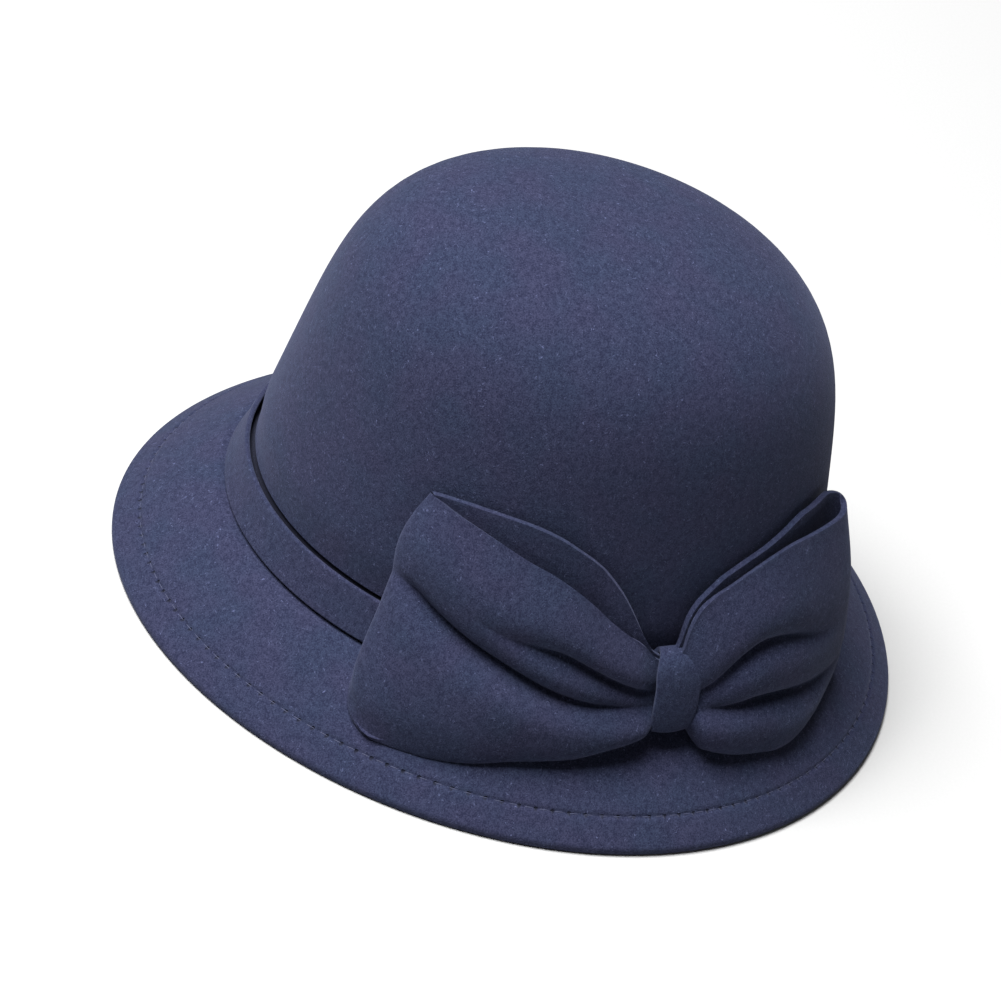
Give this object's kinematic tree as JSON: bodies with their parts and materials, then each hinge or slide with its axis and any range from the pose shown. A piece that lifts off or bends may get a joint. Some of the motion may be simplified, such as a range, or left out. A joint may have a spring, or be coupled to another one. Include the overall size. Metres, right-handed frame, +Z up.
{
  "type": "cloche hat",
  "caption": "Felt cloche hat with a rounded crown, a narrow down-turned brim with a turned hem, a flat band and a gathered bow at the side.",
  "frame": {"origin": "under the middle of the box round the brim, on the surface that the brim rests on", "axes": "+Z up through the crown, -Y towards the front of the hat, +X towards the wearer's left, where the bow is"},
  "size_m": [0.2464, 0.274, 0.1588],
  "materials": {
    "body_felt": "matte dyed wool felt with a short brushed nap",
    "trim_felt": "matte dyed wool felt, cut edges",
    "bow_felt": "matte dyed wool felt with a slightly longer nap"
  },
  "bodies": {
    "root": {"felt_body": "body_felt", "band": "trim_felt", "bow_loop_front": "bow_felt", "bow_loop_back": "bow_felt", "bow_knot": "bow_felt"}
  },
  "joints": []
}
